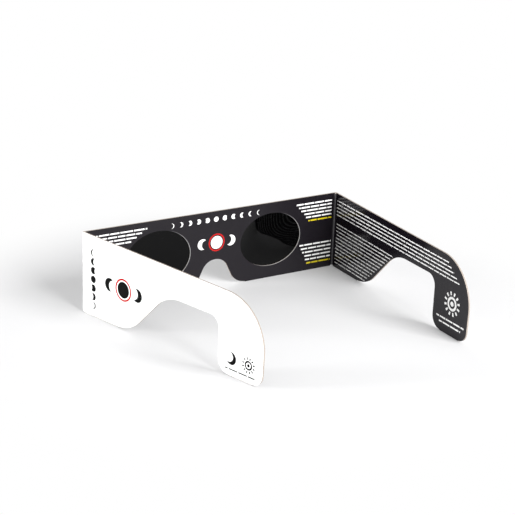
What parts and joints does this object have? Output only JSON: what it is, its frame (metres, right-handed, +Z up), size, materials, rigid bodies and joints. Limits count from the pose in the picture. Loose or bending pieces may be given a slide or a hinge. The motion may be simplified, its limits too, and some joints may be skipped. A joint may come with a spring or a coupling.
{
  "type": "eclipse glasses",
  "caption": "Folding card eclipse glasses: two dark film windows in a glued two-ply card front with a nose notch, and two creased card temples that hook behind the ears.",
  "frame": {"origin": "on the table under the middle of the front panel's inner face", "axes": "+X across the front to the wearer's right, +Y forward, out of the front panel's outer face, +Z up"},
  "size_m": [0.1506, 0.1229, 0.0415],
  "materials": {
    "white_coated_card": "satin clay-coated white",
    "black_printed_card": "matt black ink on coated card",
    "filter_film": "glossy black polymer film",
    "adhesive": "dry greyish-brown glue line"
  },
  "bodies": {
    "front": {"front_outer_card": "white_coated_card", "front_inner_card": "black_printed_card", "front_adhesive": "adhesive", "left_eye_film": "filter_film", "right_eye_film": "filter_film"},
    "left_temple": {"left_temple_outer_card": "white_coated_card", "left_temple_inner_card": "black_printed_card", "left_temple_adhesive": "adhesive", "left_crease_outer_card": "white_coated_card", "left_crease_inner_card": "black_printed_card"},
    "right_temple": {"right_temple_outer_card": "white_coated_card", "right_temple_inner_card": "black_printed_card", "right_temple_adhesive": "adhesive", "right_crease_outer_card": "white_coated_card", "right_crease_inner_card": "black_printed_card"}
  },
  "joints": [
    {"name": "left_temple_fold", "type": "hinge", "parent": "front", "child": "left_temple", "pos_m": [-0.0745, 0, 0], "axis": [0, 0, 1], "range_deg": [-103.4, 76], "deforming": ["left_crease_outer_card", "left_crease_inner_card"]},
    {"name": "right_temple_fold", "type": "hinge", "parent": "front", "child": "right_temple", "pos_m": [0.0745, 0, 0], "axis": [0, 0, -1], "range_deg": [-93.8, 81], "deforming": ["right_crease_outer_card", "right_crease_inner_card"]}
  ]
}
